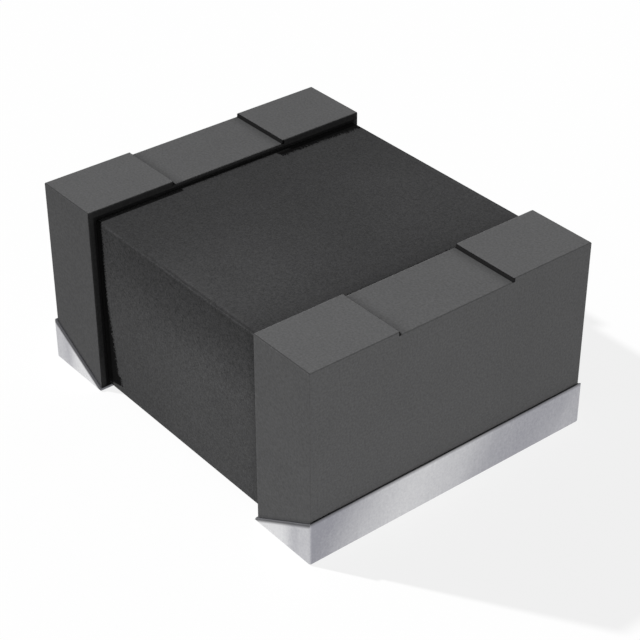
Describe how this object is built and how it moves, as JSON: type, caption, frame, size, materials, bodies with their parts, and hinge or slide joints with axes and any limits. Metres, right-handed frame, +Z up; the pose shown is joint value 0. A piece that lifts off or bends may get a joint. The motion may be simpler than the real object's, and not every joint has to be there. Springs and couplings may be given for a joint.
{
  "type": "shielded surface-mount inductor",
  "caption": "Small surface-mount power inductor: a ferrite drum core on its side, wound with enamelled wire, shielded by magnetic resin, with plated feet for soldering.",
  "frame": {"origin": "middle of the footprint, on the board", "axes": "+X along the length through both flanges, +Y across the width, +Z up from the board"},
  "size_m": [0.0032, 0.0026, 0.0016],
  "materials": {
    "ferrite": "fired, matt dark grey",
    "magnetic_resin": "matt, near black",
    "enamelled_copper": "glossy enamel over copper",
    "tin_plating": "satin plated tin",
    "solder": "satin tin solder"
  },
  "bodies": {
    "root": {"drum_core": "ferrite", "shield_resin": "magnetic_resin", "winding": "enamelled_copper", "left_terminal": "tin_plating", "right_terminal": "tin_plating", "left_solder_joint": "solder", "right_solder_joint": "solder"}
  },
  "joints": []
}
